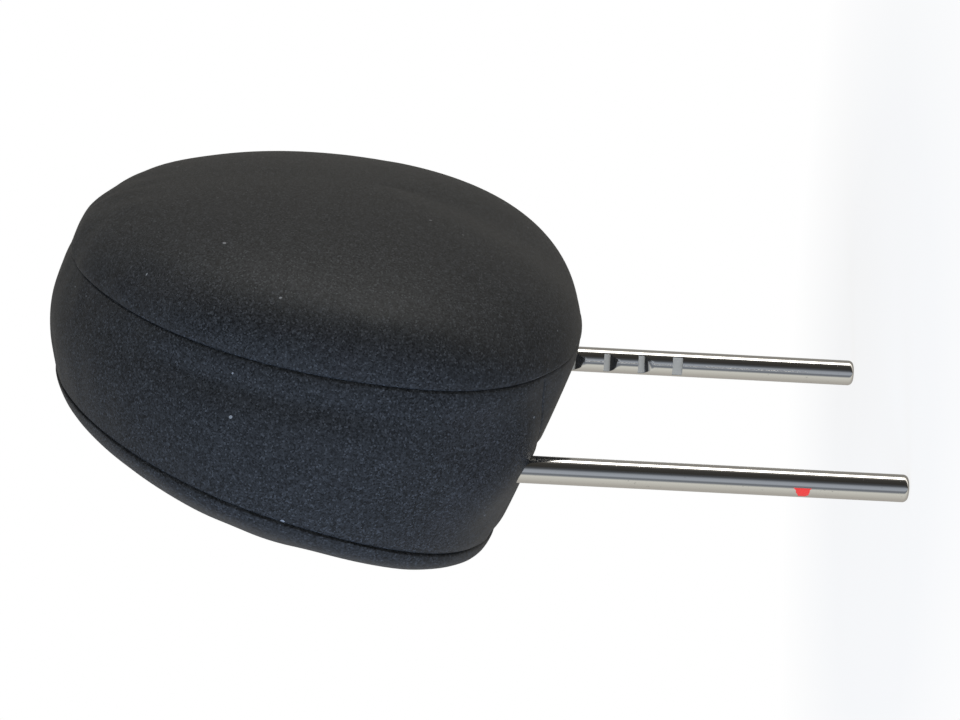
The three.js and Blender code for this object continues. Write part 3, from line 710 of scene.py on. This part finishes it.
def cover_point(row, station, fullness):
    """The cover's outer face, from the front crown over the band to the back crown."""
    if row < FRONT_ROWS:
        turn = (1 - row / FRONT_ROWS) ** CROWN_CROWDING * math.pi / 2
        return FRONT.crown_point(station, turn, fullness)
    if row > BACK_SEAM_ROW:
        turn = ((row - BACK_SEAM_ROW) / BACK_ROWS) ** CROWN_CROWDING * math.pi / 2
        return BACK.crown_point(station, turn, fullness)
    return band_point(station, band_share(row), fullness)


# Hollows where the cloth bridges the foam just under the front seam, and fuller places below
# them and where the posts enter, which have a depth under 0:
# (degrees round, share of the band, reach in degrees, reach in share, depth)
HOLLOWS = [
    (154, 0.18, 13, 0.12, 0.0030), (176, 0.17, 12, 0.09, 0.0036), (199, 0.22, 9, 0.12, 0.0022),
    (199, 0.42, 8, 0.13, 0.0024), (132, 0.18, 12, 0.14, 0.0010), (168, 0.68, 20, 0.20, -0.0018),
    (190, 0.76, 12, 0.16, -0.0014), (22, 0.17, 15, 0.12, 0.0022), (0, 0.15, 12, 0.10, 0.0026),
    (-17, 0.38, 9, 0.15, 0.0020), (44, 0.20, 12, 0.14, 0.0012), (6, 0.72, 22, 0.20, -0.0016),
    (90, 0.20, 26, 0.14, 0.0006), (70, 0.65, 20, 0.2, -0.0005), (211, 0.55, 9, 0.28, -0.0032),
    (-31, 0.55, 9, 0.28, -0.0032),
]
# How fast the hollows set in beside a seam, where they end
HOLLOW_ONSET = 1.6


def hollow(row, angle):
    """How far the cloth lies under the fitted form at a place on the band."""
    if not FRONT_ROWS < row < BACK_SEAM_ROW:
        return 0.0
    share = band_share(row)
    depth = 0.0
    for degrees, middle, wide, high, deep in HOLLOWS:
        away = (math.degrees(angle) - degrees + 180) % 360 - 180
        depth += deep * math.exp(-(away / wide) ** 2 - ((share - middle) / high) ** 2)
    return depth * min(4 * share * (1 - share) * HOLLOW_ONSET, 1.0)


# The cloth is drawn in round each post, where it enters the cushion
DIMPLE_DEPTH = 0.0005
DIMPLE_REACH = 0.004
DIMPLE_TOP = DIMPLE_REACH * 3


def dimple(point):
    """How far the cloth is drawn in at a place near a post."""
    if point.z > DIMPLE_TOP:
        return 0.0
    away = math.hypot(abs(point.x) - POST_X, point.y) - ROD_RADIUS
    return DIMPLE_DEPTH * math.exp(-(max(away, 0.0) / DIMPLE_REACH) ** 2)


def place_of(vert):
    """Row and angle of a vertex of the unit sphere that the cover starts from."""
    row = round(math.acos(min(max(vert.co.z, -1.0), 1.0)) / math.pi * ROWS)
    column = round(math.atan2(vert.co.y, vert.co.x) / (2 * math.pi) * COLUMNS)
    return row, (column % COLUMNS) / COLUMNS * 2 * math.pi


SIM_FRAMES = 20
SIM_START_FULLNESS = 0.985
SIM_PRESSURE = 6.0
SIM_QUALITY = 5
SIM_STRETCH = 15
SIM_SHEAR = 8
SIM_BENDING = 0.6
SIM_MASS = 0.3
SIM_SLACK = 0.01
# The most that the blown cover may leave the fitted form, and how often it is smoothed then
SIM_MOST = 0.0010
SIM_SMOOTHING = 4


def swell(start, goal, places):
    """Blows the sewn cover up with Cloth, held at its seams, and keeps it near the fitted form."""
    held = start.vertex_groups.new(name="seams")
    seam_verts = [i for i, place in enumerate(places) if on_seam(*place) or on_corner_seam(*place)]
    held.add(seam_verts, 1.0, "REPLACE")
    cloth = start.modifiers.new("cloth", "CLOTH")
    settings = cloth.settings
    settings.quality = SIM_QUALITY
    settings.mass = SIM_MASS
    settings.tension_stiffness = settings.compression_stiffness = SIM_STRETCH
    settings.shear_stiffness = SIM_SHEAR
    settings.bending_stiffness = SIM_BENDING
    settings.vertex_group_mass = "seams"
    settings.use_pressure = True
    settings.uniform_pressure_force = SIM_PRESSURE
    settings.effector_weights.gravity = 0
    settings.shrink_min = -SIM_SLACK
    scene = bpy.context.scene
    cloth.point_cache.frame_start = 1
    cloth.point_cache.frame_end = SIM_FRAMES
    for number in range(1, SIM_FRAMES + 1):
        scene.frame_set(number)
    seen = start.evaluated_get(bpy.context.evaluated_depsgraph_get())
    blown = [v.co.copy() for v in seen.data.vertices]
    start.modifiers.clear()
    start.vertex_groups.clear()
    scene.frame_set(1)
    for vert, full, fitted in zip(start.data.vertices, blown, goal):
        away = full - fitted
        reach = away.length
        vert.co = fitted + away * (min(reach, SIM_MOST) / reach if reach else 0.0)


def on_seam(row, _angle):
    return row in (FRONT_ROWS, BACK_SEAM_ROW)


def on_corner_seam(row, angle):
    at_corner = any(abs(angle - turn) < SAME_PLACE for turn in CORNER_TURNS)
    return FRONT_ROWS <= row <= BACK_SEAM_ROW and at_corner


def on_closing_line(row, angle):
    first, last = CORNER_TURNS
    return row == CLOSING_ROW and first - SAME_PLACE < angle < last + SAME_PLACE


SEAM_HALF_WIDTH = 0.0005
SEAM_DEPTH = 0.0012
CORNER_SEAM_DEPTH = 0.0005
CLOSING_HALF_WIDTH = 0.0009
CLOSING_DEPTH = 0.0026
# The share of a groove's half width within which a vertex counts as its bottom
GROOVE_BOTTOM = 0.45


def sew(bm, spots, half_width, depth):
    """Lays a narrow groove along the mesh lines that run through the given places."""
    nearest = kdtree.KDTree(len(spots))
    for i, spot in enumerate(spots):
        nearest.insert(spot, i)
    nearest.balance()
    lines = [e for e in bm.edges if all(nearest.find(v.co)[2] < SAME_PLACE for v in e.verts)]
    bmesh.ops.bevel(bm, geom=lines, offset=half_width, offset_type="OFFSET", segments=2,
                    profile=0.5, affect="EDGES", material=-1)
    bm.normal_update()
    crease = bm.edges.layers.float.get("crease_edge") or bm.edges.layers.float.new("crease_edge")
    middle = {v for v in bm.verts if nearest.find(v.co)[2] < half_width * GROOVE_BOTTOM}
    for edge in bm.edges:
        if edge.verts[0] in middle and edge.verts[1] in middle:
            edge[crease] = 1.0
    for vert in middle:
        vert.co -= vert.normal * depth


def in_fixed_order(bm):
    """The same mesh with its edges and corners in one order, without which Cloth doesn't repeat."""
    bm.verts.index_update()
    faces = []
    for face in bm.faces:
        corners = [vert.index for vert in face.verts]
        first = corners.index(min(corners))
        faces.append(corners[first:] + corners[:first])
    mesh = bpy.data.meshes.new("cover_in_order")
    mesh.from_pydata([vert.co for vert in bm.verts], [], sorted(faces))
    bm.free()
    ordered = bmesh.new()
    ordered.from_mesh(mesh)
    return ordered


def cover_mesh():
    """The whole cover as one skin over the foam, blown up, smoothed and sewn."""
    bm = bmesh.new()
    bmesh.ops.create_uvsphere(bm, u_segments=COLUMNS, v_segments=ROWS, radius=1.0)
    bmesh.ops.recalc_face_normals(bm, faces=bm.faces)
    bm = in_fixed_order(bm)
    places = [place_of(vert) for vert in bm.verts]
    for vert, (row, angle) in zip(bm.verts, places):
        vert.co = cover_point(row, angle, 1.0)
    bmesh.ops.recalc_face_normals(bm, faces=bm.faces)
    bm.normal_update()
    goal = [vert.co - vert.normal * (hollow(row, angle) + dimple(vert.co))
            for vert, (row, angle) in zip(bm.verts, places)]
    for vert, (row, angle) in zip(bm.verts, places):
        vert.co = cover_point(row, angle, SIM_START_FULLNESS)
    bm = blow_up(bm, goal, places)
    loose = [v for v, place in zip(bm.verts, places) if not on_seam(*place)]
    for _ in range(SIM_SMOOTHING):
        bmesh.ops.smooth_vert(bm, verts=loose, factor=0.5, use_axis_x=True, use_axis_y=True,
                              use_axis_z=True)

    def along(line):
        return [v.co.copy() for v, place in zip(bm.verts, places) if line(*place)]

    seams, corners, closing = along(on_seam), along(on_corner_seam), along(on_closing_line)
    sew(bm, seams, SEAM_HALF_WIDTH, SEAM_DEPTH)
    sew(bm, corners, SEAM_HALF_WIDTH, CORNER_SEAM_DEPTH)
    sew(bm, closing, CLOSING_HALF_WIDTH, CLOSING_DEPTH)
    return bm


def blow_up(bm, goal, places):
    """The cover's mesh after the cloth simulation, as a new bmesh."""
    mesh = bpy.data.meshes.new("cover_start")
    bm.to_mesh(mesh)
    bm.free()
    start = bpy.data.objects.new("cover_start", mesh)
    bpy.context.collection.objects.link(start)
    swell(start, goal, places)
    blown = bmesh.new()
    blown.from_mesh(start.data)
    bpy.data.objects.remove(start)
    return blown


CLOTH_GREY = 0.019
CLOTH_TINT = (0.97, 1.0, 1.05)
TUFT_DARK = grey(CLOTH_GREY * 0.35, CLOTH_TINT)
TUFT_LIGHT = grey(CLOTH_GREY * 1.65, CLOTH_TINT)
TUFT_PALE = grey(CLOTH_GREY * 3.6, CLOTH_TINT)
BLOTCH = grey(CLOTH_GREY * 1.5)
LINT = grey(0.30)
TUFT_SCALE = 1700.0


def fabric_material():
    """Short knitted pile: tufts of half a millimetre, some paler than others, and stray lint."""
    material, shader = new_shader("cover_fabric")
    place = shader.position()
    cells = {"Vector": place, "Scale": TUFT_SCALE}
    tuft = shader.add("ShaderNodeTexVoronoi", {"feature": "F1"}, cells)
    pick = shader.axes(shader.add("ShaderNodeTexVoronoi", {"feature": "F1"}, cells, out="Color"))[0]
    fibre = shader.noise(place, 5200.0, 2.0, 0.7)
    blotch = shader.noise(place, 38.0, 3.0)
    shade = shader.mix(pick, TUFT_DARK, TUFT_LIGHT)
    pale = shader.spread(pick, 0.88, 1.0) * shader.spread(fibre, 0.40, 0.60)
    shade = shader.mix(pale, shade, TUFT_PALE)
    shade = shader.mix(shader.spread(blotch, 0.35, 0.75) * 0.22, shade, BLOTCH)
    lint = shader.spread(shader.noise(place, 330.0, 0.0), 0.872, 0.885)
    shade = shader.mix(lint * 0.6, shade, LINT)
    height = (1.0 - tuft) * 0.7 + fibre * 0.5
    normal = shader.bump(height, 0.38, 0.00018)
    shader.surface(Base_Color=shade, Roughness=0.5, Specular_IOR_Level=0.14, Normal=normal)
    return material


cushion = add_piece("cushion_cover", cover_mesh(), fabric_material())
finer = cushion.modifiers.new("finer", "SUBSURF")
finer.levels = finer.render_levels = 1
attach(cushion, BODY)
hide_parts("foam_cushion", "cover_front_panel", "cover_side_band", "cover_back_panel",
            "cover_underside_front", "cover_underside_rear", "front_seam_thread",
            "back_seam_thread", "corner_thread_right", "corner_thread_left")


# Closure
# Two extruded plastic strips, sewn to the edges of the underside flaps, hook into each other
# between the posts and hold the cover shut.
# The extruder's streaks run along the strips
STREAK_SCALE = (0.05, 1.0, 1.0)
STRIP_DARK = grey(0.02)
STRIP_PALE = grey(0.035)


def hook_material():
    """Dark plastic, finely streaked along its length."""
    material, shader = new_shader("hook_plastic")
    place = shader.position()
    along = shader.add("ShaderNodeMapping", None, {"Vector": place, "Scale": STREAK_SCALE})
    streak = shader.noise(along, 1500.0, 2.0)
    colour = shader.mix(streak, STRIP_DARK, STRIP_PALE)
    shader.surface(Base_Color=colour, Roughness=streak * 0.2 + 0.35,
                   Normal=shader.bump(streak, 0.3, 0.00005))
    return material


hook_plastic = hook_material()
dress("closure_hook_front", hook_plastic)
dress("closure_hook_rear", hook_plastic)
